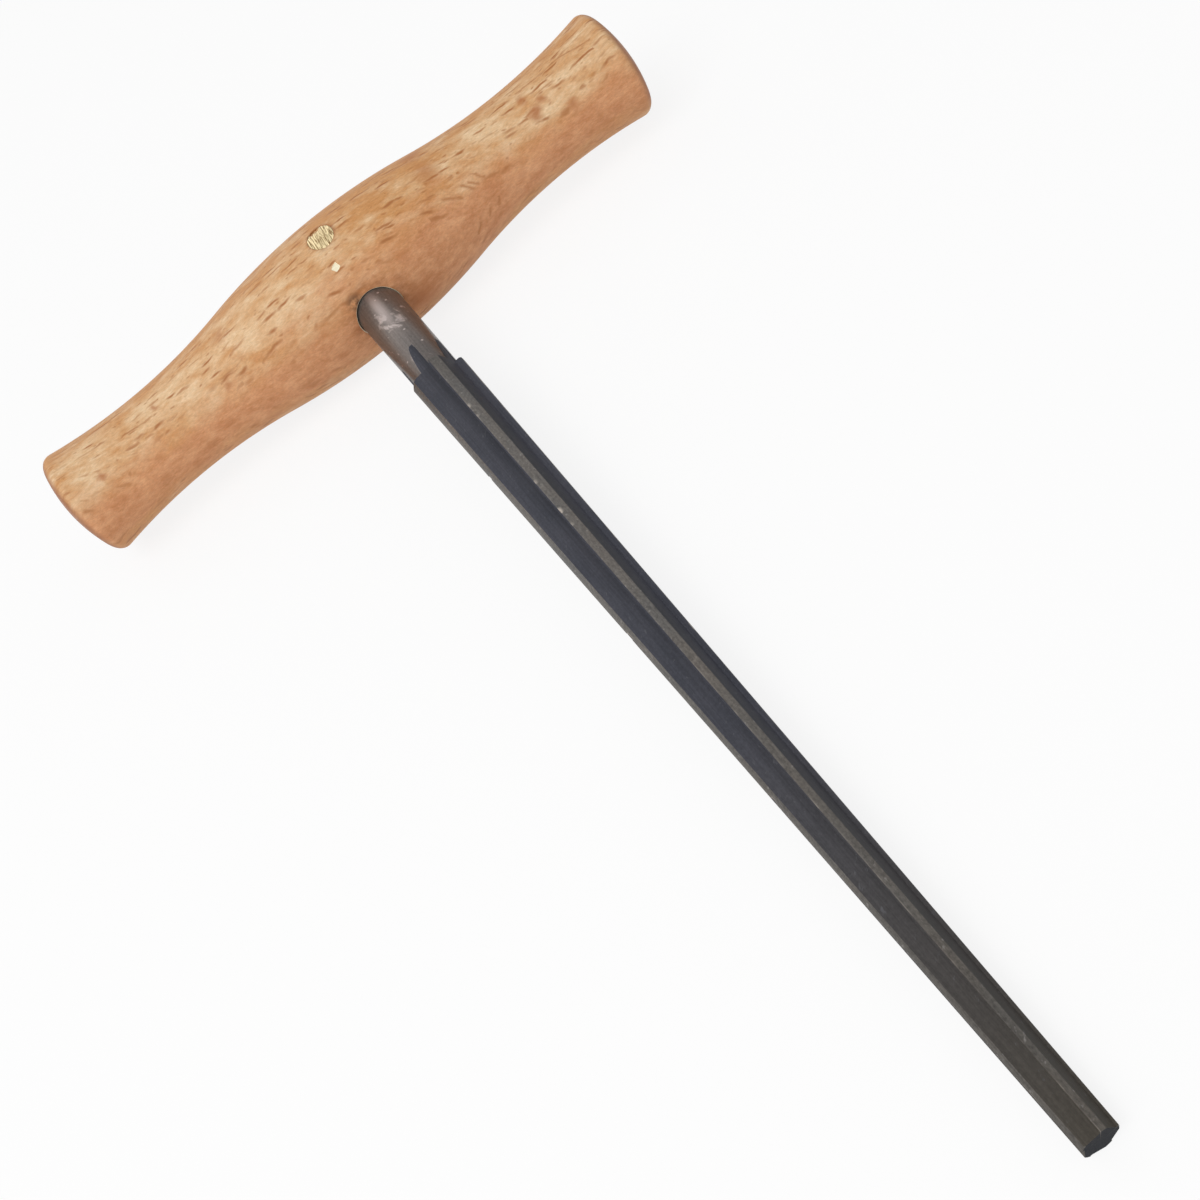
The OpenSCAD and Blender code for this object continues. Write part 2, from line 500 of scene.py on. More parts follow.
def blank_radius(x):
    """Radius of the reamer before its flutes are cut."""
    if x <= BULGE_R:
        return SHANK_R
    if x <= SHOULDER_X:
        return SHANK_R - (x - BULGE_R) * NECK_FALL
    return TIP_R + (TIP_X - x) * TAPER / 2


def flute_root(x):
    """Sideways place and height of a flute's root, at a station along the reamer."""
    share = (TIP_X - max(x, RUNOUT_X)) / FLUTE_LEN
    side = ROOT_SIDE_SMALL + share * (ROOT_SIDE_LARGE - ROOT_SIDE_SMALL)
    height = FLOOR_SMALL + share * (FLOOR_LARGE - FLOOR_SMALL)
    return side, height + max(RUNOUT_X - x, 0) * RUNOUT_SLOPE


def floor_reach(x):
    """Distance from the reamer's axis to the plane of a flute's floor."""
    side, height = flute_root(x)
    return height * math.cos(FLOOR_FALL) + side * math.sin(FLOOR_FALL)


def wall_reach(x):
    """Distance from the reamer's axis to the plane of a flute's cutting wall."""
    side, height = flute_root(x)
    return side * math.cos(WALL_LEAN) + height * math.sin(WALL_LEAN)


def runout_start():
    """Station at which a flute's floor comes out of the shank, found by halving a span."""
    low, high = BULGE_R, RUNOUT_X
    for _ in range(HALVINGS):
        middle = (low + high) / 2
        if floor_reach(middle) < blank_radius(middle):
            high = middle
        else:
            low = middle
    return high


RUNOUT_START = runout_start()

# Where points lie across a flute's wall, its floor and the land after it
WALL_SHARES = (0.0, 0.08, 0.45, 0.85)
FLOOR_SHARES = (0.0, 0.05, 0.15, 0.3, 0.45, 0.6, 0.75, 0.9)
LAND_SHARES = (0.0, 0.05, 0.2, 0.4, 0.6, 0.75, 0.85, 0.92, 0.97)

# Kinds of face on the reamer, in the order of its materials
SHANK_KIND, LAND_KIND, FLUTE_KIND, END_KIND = range(4)


def flute_corners(x, blank):
    """Angles of a flute's cutting edge, root and heel, about the reamer's axis."""
    half = max(math.acos(min(floor_reach(x) / blank, 1)), SLIVER)
    root = max(math.atan2(*flute_root(x)), FLOOR_FALL - half)
    edge = math.asin(wall_reach(x) / blank) - WALL_LEAN
    return min(edge, root - SLIVER), root, FLOOR_FALL + half


def reamer_section(x, blank):
    """Points of one flute and land at a station: angle, radius, kind of face before it, and from_heel.

    From_heel is 0 at the heel, 1 at the flute's root, more on its wall, and None on edge and land.
    """
    edge, root, heel = flute_corners(x, blank)
    section = []
    angles = [edge + share * (root - edge) for share in WALL_SHARES]
    angles += [root + share * (heel - root) for share in FLOOR_SHARES]
    for angle in angles:
        wall = wall_reach(x) / math.sin(angle + WALL_LEAN)
        floor = floor_reach(x) / math.cos(angle - FLOOR_FALL)
        fill = ROOT_FILL if angle == root else 0
        from_heel = (heel - angle) / (heel - root) if angle > edge else None
        section.append((angle, min(max(wall, floor) + fill, blank), FLUTE_KIND, from_heel))
    for share in LAND_SHARES:
        angle = heel + share * (edge + FLUTE_STEP - heel)
        kind = LAND_KIND if share else FLUTE_KIND
        from_heel = None if share else 0.0
        section.append((angle, blank, kind, from_heel))
    return section


def painted_shading(flute, x, from_heel):
    """Painted shading at a station, on a flute's floor or wall or outside the flute, as from_heel says:
    painted shade and light on floors, painted light on walls, darker near the shoulder elsewhere.
    """
    on_wall = from_heel is not None and from_heel > 1
    if on_wall and x > SHOULDER_X:
        return WALL_PAINTED_LIGHT
    if from_heel is None or on_wall or x <= RUNOUT_START:
        return SHOULDER_DARKENING * max(0.0, 1 - abs(x - SHOULDER_X) / SHOULDER_DARKENING_REACH)
    at_root, at_heel = FLUTE_PAINTED_SHADE[flute]
    kept = 1 - PAINTED_SHADE_FADE * max(0.0, x - PAINTED_SHADE_FADE_FROM)
    return kept * (at_heel + (at_root - at_heel) * from_heel**PAINTED_SHADE_CURVE)


def nick(flute, x, from_edge):
    """Depth and brightness of a nick, at a station and at a distance from the cutting edge."""
    near = max(0.0, 1 - from_edge / NICK_REACH)
    patches = noise.noise(Vector((EDGE_RUB_PATCHES * x, EDGE_APART * flute, 0.5)))
    rubbed = max(0.0, EDGE_RUB * patches) * (from_edge < EDGE_RUB_WIDTH)
    for of_flute, at, half, depth, shine in NICKS:
        if of_flute == flute and abs(x - at) < half:
            share = near * (1 - ((x - at) / half) ** 2)
            return depth * share, max(shine * min(1.0, NICK_SHINE * share), rubbed)
    return 0.0, rubbed


def reamer_ring(x, blank):
    """Points, wear, painted shading and kinds of face of all flutes and lands at one station."""
    points, wear, shading, kinds = [], [], [], []
    section = reamer_section(x, blank)
    edge = section[0][0]
    for flute in range(FLUTES):
        for place, (angle, radius, kind, from_heel) in enumerate(section):
            depth = worn = 0.0
            behind = edge + FLUTE_STEP - angle
            if x > SHOULDER_X and (place == 0 or kind == LAND_KIND):
                of_edge = flute if place == 0 else (flute + 1) % FLUTES
                depth, worn = nick(of_edge, x, 0 if place == 0 else behind * radius)
            turn = angle + flute * FLUTE_STEP
            points.append((x, -(radius - depth) * math.sin(turn), (radius - depth) * math.cos(turn)))
            wear.append(worn)
            shading.append(painted_shading(flute, x, from_heel))
            kinds.append(LAND_KIND if place == 0 else kind)
    return points, wear, shading, kinds


def reamer_stations():
    """Stations along the reamer, each with the radius of the uncut steel there."""
    shank = [TANG_X + TANG_CHAMFER, *spread(0, BULGE_R, SHANK_RINGS)]
    neck = spread(BULGE_R, RUNOUT_START - RUNOUT_SPACE, NECK_RINGS)[1:]
    shares = spread(0, 1, RUNOUT_RINGS)
    runout = [RUNOUT_START + (RUNOUT_X - RUNOUT_START) * share**2 for share in shares]
    plain = [(x, blank_radius(x)) for x in shank + neck + runout + [SHOULDER_X]]
    fluted = spread(SHOULDER_X + LAND_CHAMFER, TIP_X - TIP_CHAMFER, TAPER_RINGS)
    for _, at, half, _, _ in NICKS:
        fluted += spread(at - half, at + half, NICK_RINGS)
    lands = [(x, blank_radius(x)) for x in sorted(fluted)]
    return [
        (TANG_X, SHANK_R - TANG_CHAMFER),
        *plain,
        (SHOULDER_X + SHOULDER_SLOPE, LAND_R - LAND_CHAMFER),
        *lands,
        (TIP_X, TIP_R - TIP_CHAMFER),
    ]


def make_reamer():
    """The steel shank and its fluted taper, in one piece."""
    shell = Shell()
    before = None
    for x, blank in reamer_stations():
        points, wear, dirt_and_shading, kinds = reamer_ring(x, blank)
        if x <= SHOULDER_X and blank <= SHANK_R:
            kinds = [kind if kind == FLUTE_KIND and x > RUNOUT_START else SHANK_KIND for kind in kinds]
        ring = shell.ring(points, wear, dirt_and_shading)
        if before:
            shell.bridge(before, ring, kinds)
        else:
            shell.cap(ring, (x, 0, 0), SHANK_KIND)
        before = ring
    shell.cap(before, (TIP_X, 0, 0), END_KIND)
    mesh = shell.mesh("reamer_steel", [shank_steel(), land_steel(), flute_steel(), end_steel_painted_shade()])
    mesh = carve(mesh, [pin_hole_cutter()])
    add_piece("reamer_steel", mesh, "reamer", crease=25)


def file_relief(x, y, seed):
    """Height of the pin's filed end above the handle's curve."""
    marks = noise.noise(Vector((FILE_RUN * x, FILE_MARKS * y, seed)))
    fine = noise.noise(Vector((FINE_RUN * x, FINER * FILE_MARKS * y, seed + FINE_SEED)))
    edge = (math.hypot(x, y) / PIN_R) ** EDGE_FALL
    return FILE_DEPTH * (marks + FINE_SHARE * fine - edge)


def dent(x, y):
    """Share of the dent in the pin's edge, from 0 to 1."""
    grain = noise.noise(Vector((DENT_GRAIN.x * x, DENT_GRAIN.y * y, DENT_SEED)))
    far = math.hypot((x - DENT_AT.x) / DENT_SIZE.x, (y - DENT_AT.y) / DENT_SIZE.y)
    far += DENT_RAGGED * grain
    return min(1.0, max(0.0, DENT_STEEP * (1 - far)))


def pin_end(shell, side):
    """One filed end of the pin, in rows along the file's marks. Returns its rim."""
    rows = []
    for turn in spread(-math.pi / 2, math.pi / 2, PIN_ROWS)[1:-1]:
        y = PIN_R * math.sin(turn)
        reach = PIN_R * math.cos(turn)
        points, dirt_and_shading = [], []
        for x in spread(-reach, reach, PIN_COLUMNS):
            dip = dent(x, y) if side > 0 else 0.0
            height = handle_height(PIN_X + x, y) + file_relief(x, y, side)
            points.append((PIN_X + x, y, side * (height - DENT_DEPTH * dip)))
            dirt_and_shading.append(min(1.0, DENT_DIRT * dip))
        rows.append(shell.ring(points, dirt_and_shading=dirt_and_shading))
    for first, second in zip(rows, rows[1:]):
        for i in range(PIN_COLUMNS):
            shell.faces.append((first[i], first[i + 1], second[i + 1], second[i]))
            shell.kinds.append(0)
    inner = rows[1:-1]
    right = [row[-1] for row in inner]
    left = [row[0] for row in reversed(inner)]
    return rows[0] + right + rows[-1][::-1] + left


def make_pin():
    """The brass cross pin, filed off flush with the handle at both ends."""
    shell = Shell()
    top = pin_end(shell, 1)
    low = pin_end(shell, -1)
    shell.bridge(top, low)
    mesh = shell.mesh("pin_brass", [brass()])
    add_piece("pin_brass", mesh, "cross_pin", crease=40)


class Graph:
    """A material's node tree, with short calls for the nodes used here."""

    def __init__(self, name):
        self.material = bpy.data.materials.new(name)
        self.material.use_nodes = True
        self.tree = self.material.node_tree
        self.shader = self.tree.nodes["Principled BSDF"]

    def feed(self, socket, value):
        """Links a socket to another one, or sets its value."""
        if isinstance(value, bpy.types.NodeSocket):
            self.tree.links.new(value, socket)
        else:
            socket.default_value = value

    def node(self, kind, inputs, **settings):
        """Adds a node, with its inputs fed and its settings made."""
        node = self.tree.nodes.new("ShaderNode" + kind)
        for key, value in settings.items():
            setattr(node, key, value)
        for key, value in inputs.items():
            self.feed(node.inputs[key], value)
        return node

    def math(self, operation, first, second=0.0):
        """One operation on one or two numbers."""
        return self.node("Math", {0: first, 1: second}, operation=operation).outputs[0]

    def vector(self, operation, first, second=(0, 0, 0)):
        """One operation on one or two vectors, which gives a number or a vector."""
        node = self.node("VectorMath", {0: first, 1: second}, operation=operation)
        gives_number = operation in ("LENGTH", "DISTANCE", "DOT_PRODUCT")
        return node.outputs["Value" if gives_number else "Vector"]

    def places(self, stretch=(1, 1, 1), turn=(0, 0, 0)):
        """Places on the object in millimetres, turned and then divided by the stretch."""
        place = self.node("TexCoord", {}).outputs["Object"]
        turned = self.node("Mapping", {"Vector": place, "Rotation": turn}, vector_type="POINT")
        scale = tuple(1 / (MM * size) for size in stretch)
        inputs = {"Vector": turned.outputs[0], "Scale": scale}
        return self.node("Mapping", inputs, vector_type="POINT").outputs[0]

    def noise(self, places, detail=2.0, roughness=0.5, distortion=0.0):
        """Soft noise from 0 to 1, mostly near a half."""
        inputs = {"Vector": places, "Scale": 1.0, "Detail": detail}
        inputs |= {"Roughness": roughness, "Distortion": distortion}
        return self.node("TexNoise", inputs).outputs[0]

    def drift(self, stretch, detail=2.0):
        """Soft noise in each of three directions, from 0 to 1."""
        inputs = {"Vector": self.places(stretch), "Scale": 1.0, "Detail": detail}
        return self.node("TexNoise", inputs).outputs["Color"]

    def remap(self, value, low, high, to_low=0.0, to_high=1.0, smooth=False):
        """Maps the range from low to high onto to_low to to_high, and stops at its ends."""
        inputs = {"Value": value, "From Min": low, "From Max": high}
        inputs |= {"To Min": to_low, "To Max": to_high}
        kind = "SMOOTHSTEP" if smooth else "LINEAR"
        return self.node("MapRange", inputs, interpolation_type=kind).outputs[0]

    def blend(self, amount, first, second, mode="MIX"):
        """The first colour with the second laid over it."""
        node = self.node("Mix", {0: amount}, data_type="RGBA", blend_type=mode)
        self.feed(node.inputs[6], first)
        self.feed(node.inputs[7], second)
        return node.outputs[2]

    def axis(self, name):
        """One coordinate on the object, in millimetres."""
        return self.node("SeparateXYZ", {0: self.places()}).outputs[name]

    def facing(self, name):
        """How far the surface faces along one axis of the object, either way, from 0 to 1."""
        normal = self.node("TexCoord", {}).outputs["Normal"]
        return self.math("ABSOLUTE", self.node("SeparateXYZ", {0: normal}).outputs[name])

    def distance(self, centre):
        """Distance in millimetres from a point on the object."""
        return self.vector("DISTANCE", self.places(), tuple(centre))

    def from_y(self, y):
        """Distance along the handle from a Y, in millimetres."""
        return self.math("ABSOLUTE", self.math("SUBTRACT", self.axis("Y"), y))

    def attribute(self, name):
        """A number kept at the mesh's points."""
        return self.node("Attribute", {}, attribute_name=name).outputs["Fac"]

    def finish(self, colour, roughness, height, depth, **constants):
        """Feeds the shader, with a bump that is depth millimetres tall where the height is 1."""
        self.feed(self.shader.inputs["Base Color"], colour)
        self.feed(self.shader.inputs["Roughness"], roughness)
        bump = self.node("Bump", {"Height": height, "Distance": depth * MM, "Strength": 1.0})
        self.feed(self.shader.inputs["Normal"], bump.outputs[0])
        for name, value in constants.items():
            self.shader.inputs[name.replace("_", " ")].default_value = value
        return self.material


# Beech: the grain runs nearly along the handle, flecked faces look up and down, and plain ones sideways
GRAIN_TURN = (0, 0, math.radians(2))
PALE_SIDE = (math.sin(math.radians(30)), 0, math.cos(math.radians(30)))
PITH = (-14, 0, -38)
RING_GAP = 2.4
END_GRAIN_FROM = RIM_CENTRE.y + 0.3
RED_PATCH_Y = 12
PALE_BEECH = (0.78, 0.55, 0.33, 1)
MID_BEECH = (0.6, 0.3, 0.115, 1)
SIDE_BEECH = (0.54, 0.23, 0.1, 1)
PALE_SIDE_BEECH = (0.7, 0.36, 0.185, 1)
END_BEECH = (0.36, 0.155, 0.075, 1)
FLECK_BROWN = (0.4, 0.155, 0.05, 1)
DARK_BEECH = (0.26, 0.08, 0.022, 1)
STAIN = (0.05, 0.028, 0.018, 1)
RAW_BEECH = (0.95, 0.89, 0.67, 1)
RED_STAIN_AND_SHADE = (0.42, 0.15, 0.05, 1)
FINE_DARK = (0.91, 0.83, 0.74, 1)
FINE_PALE = (1.05, 1.09, 1.14, 1)

# Stains and painted shade: dirt and painted shade around the shank's hole, painted shadow around the pin,
# and a smudge beside the shank
SHANK_STAIN_AND_SHADE_AT = (BULGE_R, 0, 0)
PIN_SHADOW_AT = (PIN_X + 0.3, 0.2, BULGE_R)
PIN_RIM_SHADOW_AT = (PIN_X + 0.1, 0.1, BULGE_R)
SMUDGE_AT = (11.2, -2.3, 4.1)


def off_axis(graph):
    """Way from the handle's axis to a place on it, in millimetres."""
    return graph.vector("MULTIPLY", graph.places(), (1, 0, 1))


def outward(graph, towards):
    """How far a place on the handle lies towards a direction from the handle's axis, from -1 to 1."""
    return graph.vector("DOT_PRODUCT", graph.vector("NORMALIZE", off_axis(graph)), towards)


def ray_flecks(graph, cell, fleck, seed, share):
    """Thin dark dashes where the wood's rays are cut, from 0 to 1. Sizes are in millimetres."""
    bend = graph.vector("MULTIPLY", graph.drift((2.5, 4, 5)), (1.3, 3, 3))
    places = graph.vector("ADD", graph.places(turn=GRAIN_TURN), bend)
    cells_at = graph.vector("ADD", graph.vector("DIVIDE", places, cell), (seed, seed, seed))
    cells = graph.node("TexVoronoi", {"Vector": cells_at, "Scale": 1.0})
    chance = graph.node("SeparateColor", {0: cells.outputs["Color"]})
    away = graph.vector("SUBTRACT", cells_at, cells.outputs["Position"])
    away = graph.vector("MULTIPLY", away, tuple(c / f for c, f in zip(cell, fleck)))
    length = graph.remap(chance.outputs[1], 0, 1, 2.0, 0.7)
    squeezed = graph.node("CombineXYZ", {"X": 1.0, "Y": length, "Z": 1.0}).outputs[0]
    far = graph.vector("LENGTH", graph.vector("MULTIPLY", away, squeezed))
    mark = graph.remap(far, 1.0, 0.35)
    shown = graph.remap(chance.outputs[0], 1 - share, 1.5 - share, 0.15, 1.0)
    return graph.math("MULTIPLY", mark, shown)


def beech_tone(graph):
    """Colour of the clear wood: pale and orange patches on the flecked faces, and red-brown sides."""
    streaks = graph.noise(graph.places((2.2, 7, 4), GRAIN_TURN), 4.0, 0.6, 0.3)
    palest = graph.remap(outward(graph, PALE_SIDE), 0.6, 1.0, -0.12, 0.1)
    from_patch = graph.from_y(RED_PATCH_Y)
    patch = graph.remap(from_patch, 4, 18, -0.1, 0.03)
    pale = graph.math("ADD", streaks, graph.math("ADD", palest, patch))
    colour = graph.blend(graph.remap(pale, 0.43, 0.74), MID_BEECH, PALE_BEECH)
    ragged = graph.noise(graph.places((3.5, 12, 6), GRAIN_TURN), 4.0, 0.6, 0.3)
    flecked = graph.math("ABSOLUTE", outward(graph, (0, 0, 1)))
    flecked = graph.math("ADD", flecked, graph.remap(ragged, 0.3, 0.7, -0.2, 0.2))
    flecked = graph.math("ADD", flecked, graph.remap(from_patch, 4, 22, 0, 0.16))
    plain = graph.noise(graph.places((1.3, 5, 2), GRAIN_TURN), 5.0, 0.72, 0.3)
    sides = graph.blend(graph.remap(plain, 0.33, 0.65), SIDE_BEECH, PALE_SIDE_BEECH)
    return graph.blend(graph.remap(flecked, 0.85, 0.4, 0, 0.95), colour, sides)


def end_grain(graph, colour):
    """Darker wood on the domed ends, with growth rings and fine rays."""
    wavy = graph.noise(graph.places((5, 40, 5)), 2.0, 0.5)
    rings = graph.math("DIVIDE", graph.vector("DISTANCE", off_axis(graph), PITH), RING_GAP)
    late = graph.remap(graph.math("FRACT", graph.math("ADD", rings, wavy)), 0.55, 1.0, 0, 0.4)
    rays = graph.noise(graph.places((0.25, 2, 4), (0, math.radians(-20), 0)), 2.0, 0.5)
    tone = graph.blend(late, END_BEECH, DARK_BEECH)
    tone = graph.blend(graph.remap(rays, 0.55, 0.75, 0, 0.4), tone, MID_BEECH)
    domed = graph.remap(graph.from_y(HANDLE_Y), END_GRAIN_FROM, RIM_END, smooth=True)
    return graph.blend(domed, colour, tone)


def hole_stains_and_shadows(graph, colour):
    """Dirt and painted shade in the wood around the shank's hole, and painted shadow around the pin."""
    blotch = graph.noise(graph.places((1.6, 1.6, 1.6)), 3.0, 0.6)
    patchy = graph.remap(blotch, 0.35, 0.65)
    # Dirt and painted shade around the shank's hole
    around_shank = graph.remap(graph.distance(SHANK_STAIN_AND_SHADE_AT), 7.5, 4.2, 0, 0.65)
    # Painted shadow around the pin, reaching further to its right
    pin_shadow = graph.remap(graph.distance(PIN_SHADOW_AT), PIN_R + 0.8, PIN_R, 0, 0.6)
    shading = graph.math("MULTIPLY", graph.math("MAXIMUM", around_shank, pin_shadow), patchy)
    # Painted shadow in a thin ring at the pin's edge
    rim = graph.remap(graph.distance(PIN_RIM_SHADOW_AT), PIN_R + 0.5, PIN_R, 0, 0.6)
    colour = graph.blend(graph.math("MAXIMUM", shading, rim), colour, DARK_BEECH)
    smudge = graph.remap(graph.distance(SMUDGE_AT), 1.8, 0.5, 0, 0.8)
    smudge = graph.math("MULTIPLY", smudge, graph.remap(blotch, 0.3, 0.5))
    return graph.blend(smudge, colour, STAIN)


def ragged_places(graph, reach):
    """Places on the object in millimetres, pushed about by noise, so that marks get ragged edges."""
    push = graph.vector("SUBTRACT", graph.drift((1.2, 2, 1.2), 3.0), (0.5, 0.5, 0.5))
    return graph.vector("ADD", graph.places(), graph.vector("MULTIPLY", push, (reach, reach, reach)))


def red_stains_and_shade(graph):
    """Reddish stains at chosen places, and painted shade beside the shank, from 0 to 1."""
    places = ragged_places(graph, 2.0)
    total = 0.0
    for y, turn, radius, strength in RED_STAINS_AND_SHADE:
        far = graph.vector("DISTANCE", places, tuple(on_handle(y, turn)))
        total = graph.math("MAXIMUM", graph.remap(far, radius, 0.2 * radius, 0, strength), total)
    return total


def strokes(graph, ends, width):
    """Thin strokes between pairs of places on the handle, from 0 to 1."""
    places = ragged_places(graph, width)
    total = 0.0
    for first, last in ends:
        start = on_handle(*first)
        run = on_handle(*last) - start
        from_start = graph.vector("SUBTRACT", places, tuple(start))
        share = graph.vector("DOT_PRODUCT", from_start, tuple(run / run.length_squared))
        nearest = graph.vector("MULTIPLY", graph.remap(share, 0, 1), tuple(run))
        far = graph.vector("DISTANCE", from_start, nearest)
        total = graph.math("MAXIMUM", graph.remap(far, width / 2, 0), total)
    return total


def beech():
    """Oiled beech with ray flecks, fine fibres, dark end grain and stains."""
    graph = Graph("beech")
    fibres = graph.noise(graph.places((0.5, 1.8, 0.6), GRAIN_TURN), 4.0, 0.65, 0.3)
    pores = graph.noise(graph.places((0.16, 0.5, 0.16), GRAIN_TURN), 2.0, 0.5)
    colour = graph.blend(graph.remap(fibres, 0.3, 0.7), FINE_DARK, FINE_PALE)
    colour = graph.blend(1.0, beech_tone(graph), colour, "MULTIPLY")
    colour = graph.blend(1.0, colour, graph.remap(pores, 0.3, 0.7, 1.09, 0.91), "MULTIPLY")
    long_flecks = ray_flecks(graph, cell=(1.35, 3.8, 4), fleck=(0.25, 2.6, 2), seed=3.0, share=0.95)
    short_flecks = ray_flecks(graph, cell=(0.9, 1.8, 3), fleck=(0.18, 0.8, 1.3), seed=11.0, share=0.7)
    flecks = graph.math("MAXIMUM", long_flecks, graph.math("MULTIPLY", short_flecks, 0.7))
    flecks = graph.math("MULTIPLY", flecks, graph.remap(graph.facing("Z"), 0.2, 0.6, 0.26, 1.0))
    colour = graph.blend(flecks, colour, FLECK_BROWN)
    # Reddish stains, and painted shade beside the shank
    colour = graph.blend(red_stains_and_shade(graph), colour, RED_STAIN_AND_SHADE)
    tool_marks = strokes(graph, TOOL_STROKES, STROKE_WIDTH)
    marks = graph.math("MAXIMUM", tool_marks, strokes(graph, VEIN, VEIN_WIDTH))
    colour = graph.blend(graph.math("MULTIPLY", marks, 0.75), colour, FLECK_BROWN)
    colour = hole_stains_and_shadows(graph, end_grain(graph, colour))
    roughness = graph.remap(fibres, 0.3, 0.7, 0.46, 0.58)
    sunk = graph.math("MULTIPLY", graph.math("MAXIMUM", flecks, marks), 0.5)
    height = graph.math("SUBTRACT", graph.math("MULTIPLY", fibres, 0.5), sunk)
    return graph.finish(colour, roughness, height, depth=0.1, Specular_IOR_Level=0.28)


def raw_wood():
    """Bare pale wood where the finish has flaked off."""
    graph = Graph("raw_wood")
    fibres = graph.noise(graph.places((0.15, 1.5, 0.15), GRAIN_TURN), 3.0, 0.6)
    colour = graph.blend(graph.remap(fibres, 0.45, 1.0), RAW_BEECH, PALE_BEECH)
    roughness = graph.remap(fibres, 0.3, 0.7, 0.75, 0.85)
    return graph.finish(colour, roughness, fibres, depth=0.04)


# Metals: the reamer is browner at its small end and bare in its nicks. The shank has a scuffed patch
# and a painted highlight along it. The pin's brass is bright on its ridges and soiled in its dent.
BROWNED = (0.058, 0.051, 0.042, 1)
SHANK_SCUFF = (20.0, 0.3, 4.0)
SHANK_PAINTED_HIGHLIGHT = (16.5, -0.1, 4.0)
SHANK_PAINTED_HIGHLIGHT_SIZE = (8.0, 1.5, 2.0)
BARE_STEEL = (0.5, 0.44, 0.38, 1)
DULL_BRASS = (0.2, 0.115, 0.038, 1)
BRIGHT_BRASS = (0.93, 0.77, 0.46, 1)
SOILED_BRASS = (0.5, 0.28, 0.12, 1)


def steel(name, tone, tint, scuff_and_highlight, rubs_and_highlight, grain, roughness, metal, gloss, brown_from=90, browned=0.6):
    """Old tool steel: mottled, with fine grinding lines, rubs and a painted highlight, worn nicks,
    painted shade and light, and a browner small end.
    """
    graph = Graph(name)
    mottle = graph.noise(graph.places((0.5, 0.35, 0.35)), 4.0, 0.65)
    clouds = graph.noise(graph.places((9, 2.5, 2.5)), 2.0, 0.5)
    lines = graph.noise(graph.places((7, 0.08, 0.08)), 2.0, 0.6)
    colour = graph.blend(graph.remap(clouds, 0.35, 0.7), tone, tint)
    small_end = graph.remap(graph.axis("X"), brown_from, TIP_X, 0, browned)
    colour = graph.blend(small_end, colour, BROWNED)
    streaks = graph.noise(graph.places((30, 0.25, 0.25)), 2.0, 0.6)
    shade = graph.remap(mottle, 0.25, 0.75, 1 - grain, 1 + grain)
    shade = graph.math("MULTIPLY", shade, graph.remap(streaks, 0.3, 0.7, 0.87, 1.13))
    # Painted shade on the flute floors and painted light on their walls, and darker near the shoulder, as
    # kept at the reamer's points
    shading = graph.remap(graph.attribute("dirt_and_shading"), -1, 2, 1.38, 0.39)
    colour = graph.blend(1.0, colour, graph.math("MULTIPLY", shade, shading), "MULTIPLY")
    # On the shank the rubs include a painted highlight, laid in the scuff colour
    colour = graph.blend(rubs_and_highlight(graph), colour, scuff_and_highlight)
    colour = graph.blend(graph.attribute("wear"), colour, BARE_STEEL)
    rough = graph.remap(mottle, 0.3, 0.7, roughness - 0.06, roughness + 0.06)
    height = graph.math("ADD", graph.math("MULTIPLY", mottle, 0.5), lines)
    return graph.finish(colour, rough, height, depth=0.008, Metallic=metal, Specular_IOR_Level=gloss)


def small_rubs(graph):
    """Small bright specks and scratches, from 0 to 1."""
    rubbed = graph.noise(graph.places((1.2, 0.6, 0.6), (0, 0, math.radians(25))), 3.0, 0.6)
    return graph.remap(rubbed, 0.64, 0.74, 0, 0.5)


def specks(graph, cell, size, share):
    """Small dots scattered over the surface, from 0 to 1. Sizes are in millimetres."""
    cells = graph.node("TexVoronoi", {"Vector": graph.places((cell, cell, cell)), "Scale": 1.0})
    chance = graph.node("SeparateColor", {0: cells.outputs["Color"]}).outputs[0]
    dot = graph.remap(cells.outputs["Distance"], size / cell, 0.5 * size / cell)
    return graph.math("MULTIPLY", dot, graph.math("LESS_THAN", chance, share))


def land_rubs(graph):
    """Scratches and small bright specks on the lands, from 0 to 1."""
    faint = graph.math("MULTIPLY", specks(graph, cell=0.9, size=0.2, share=0.35), 0.45)
    return graph.math("MAXIMUM", small_rubs(graph), faint)


def shank_rubs_and_highlight(graph):
    """A pale scuffed patch and a painted highlight along the shank's upper side, and bright specks, from
    0 to 1.
    """
    rubbed = graph.noise(graph.places((2.2, 1.1, 1.1), (0, 0, math.radians(-30))), 4.0, 0.6, 0.4)
    near = graph.remap(graph.distance(SHANK_SCUFF), 4.5, 0.8, -0.08, 0.13)
    scuffs_and_highlight = graph.remap(graph.math("ADD", rubbed, near), 0.56, 0.7, 0, 0.75)
    # Painted highlight: a soft pale streak along the top of the shank, near the handle
    from_highlight = graph.vector("SUBTRACT", graph.places(), SHANK_PAINTED_HIGHLIGHT)
    from_highlight = graph.vector("LENGTH", graph.vector("DIVIDE", from_highlight, SHANK_PAINTED_HIGHLIGHT_SIZE))
    painted_highlight = graph.remap(from_highlight, 1.0, 0.1, 0, 0.6, smooth=True)
    scuffs_and_highlight = graph.math("MAXIMUM", scuffs_and_highlight, painted_highlight)
    return graph.math("MAXIMUM", scuffs_and_highlight, specks(graph, cell=1.5, size=0.28, share=0.4))


def shank_steel():
    """The plain shank and neck, which shine most."""
    return steel(
        "shank_steel",
        tone=(0.15, 0.128, 0.117, 1),
        tint=(0.12, 0.106, 0.1, 1),
        scuff_and_highlight=(0.5, 0.43, 0.41, 1),
        rubs_and_highlight=shank_rubs_and_highlight,
        grain=0.3,
        roughness=0.34,
        metal=0.6,
        gloss=0.5,
    )


